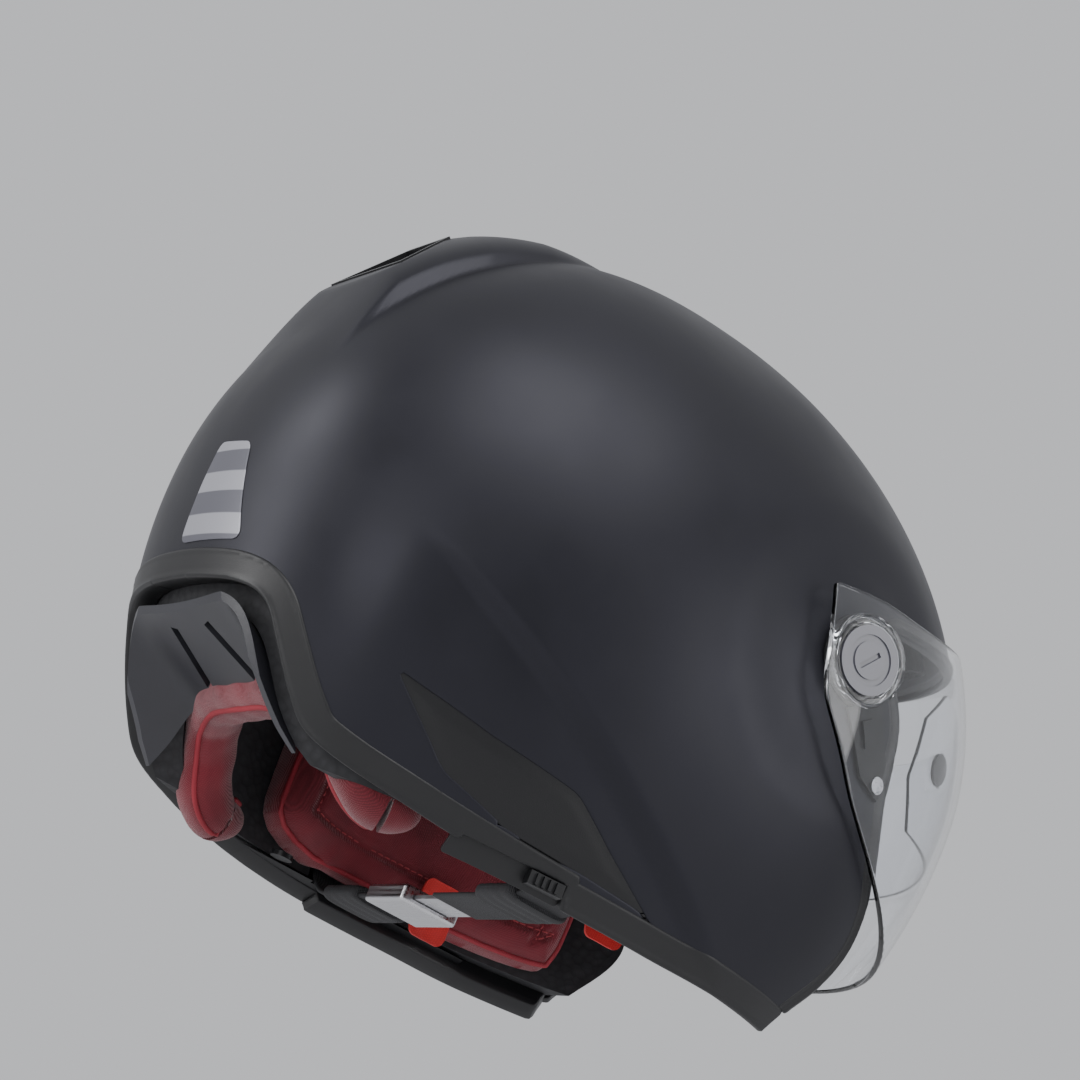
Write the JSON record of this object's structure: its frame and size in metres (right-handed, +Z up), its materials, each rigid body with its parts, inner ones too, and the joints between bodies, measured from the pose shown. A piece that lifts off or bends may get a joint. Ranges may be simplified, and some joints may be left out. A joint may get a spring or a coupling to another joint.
{
  "type": "open face motorcycle helmet",
  "caption": "Open face motorcycle helmet with a clear swing-up visor, inner sun visor, vented crest, foam liner, padded lining and chin strap.",
  "frame": {"origin": "under the middle of the helmet, on the plane that its bottom rim stands on", "axes": "+Z up to the crown, the face looks along -Y, the wearer's right is -X"},
  "size_m": [0.2574, 0.3356, 0.257],
  "materials": {
    "shell": "matte soft-touch paint",
    "trim": "satin",
    "panel": "satin",
    "diffuser": "satin",
    "mesh": "matte",
    "clear": "clear gloss",
    "insert_clear": "clear gloss",
    "smoke": "smoke gloss",
    "hub": "gloss",
    "steel": "brushed",
    "lever": "gloss",
    "foam": "expanded bead foam",
    "fabric": "brushed knit",
    "webbing": "woven",
    "tab": "woven",
    "label": "satin"
  },
  "bodies": {
    "helmet": {"outer_shell": "shell", "neck_trim": "trim", "eyeport_gasket": "trim", "side_panel_left": "panel", "side_panel_right": "panel", "exhaust_frame": "panel", "brow_vent_housing": "panel", "base_plate_left": "panel", "base_plate_right": "panel", "cheek_plate_left": "panel", "cheek_plate_right": "panel", "snap_buttons": "panel", "rear_diffuser": "diffuser", "exhaust_mesh": "mesh", "hub_cap_left": "hub", "hub_cap_right": "hub", "base_plate_screws": "steel", "strap_anchor_left": "steel", "strap_anchor_right": "steel", "anchor_rivets": "steel", "buckle_housing": "steel", "ratchet_tongue": "steel", "sun_visor_pivots": "steel", "eps_liner": "foam", "crown_pad": "fabric", "brow_pad": "fabric", "cheek_pad_left": "fabric", "cheek_pad_right": "fabric", "neck_pad": "fabric", "chin_strap_left": "webbing", "chin_strap_right": "webbing", "strap_pad_left": "webbing", "strap_pad_right": "webbing", "emergency_tab_left": "tab", "emergency_tab_right": "tab", "rear_label": "label"},
    "visor": {"visor": "clear", "fog_insert": "insert_clear", "insert_pins": "panel"},
    "sun_visor": {"sun_visor": "smoke"},
    "sun_slider": {"sun_slider": "panel"},
    "vent_slider": {"brow_vent_slider": "panel"},
    "release_right": {"release_lever_right": "panel"},
    "release_left": {"release_lever_left": "panel"},
    "buckle_lever": {"buckle_lever": "lever"}
  },
  "joints": [
    {"name": "visor_swing", "type": "hinge", "parent": "helmet", "child": "visor", "pos_m": [0, -0.0479, 0.129], "axis": [-1, 0, 0], "range_deg": [0, 42]},
    {"name": "sun_visor_swing", "type": "hinge", "parent": "helmet", "child": "sun_visor", "pos_m": [0, -0.0479, 0.129], "axis": [1, 0, 0], "range_deg": [0, 30]},
    {"name": "sun_slider_slide", "type": "slide", "parent": "helmet", "child": "sun_slider", "axis": [0.1526, 0.9883, 0], "range_m": [0, 0.026]},
    {"name": "brow_vent_slide", "type": "slide", "parent": "helmet", "child": "vent_slider", "axis": [0, 0.6581, 0.7529], "range_m": [0, 0.005]},
    {"name": "release_right_slide", "type": "slide", "parent": "helmet", "child": "release_right", "axis": [0.1474, -0.5934, -0.7913], "range_m": [0, 0.003], "stiffness_N_per_m": 300},
    {"name": "release_left_slide", "type": "slide", "parent": "helmet", "child": "release_left", "axis": [-0.1474, -0.5934, -0.7913], "range_m": [0, 0.003], "stiffness_N_per_m": 300},
    {"name": "buckle_lever_lift", "type": "hinge", "parent": "helmet", "child": "buckle_lever", "pos_m": [0.031, 0.0111, 0.0086], "axis": [0, 1, 0], "range_deg": [0, 50], "stiffness_Nm_per_rad": 0.05}
  ],
  "couplings": [
    {"joint": "sun_slider_slide", "follows": "sun_visor_swing", "m_per_rad": 0.049607}
  ]
}
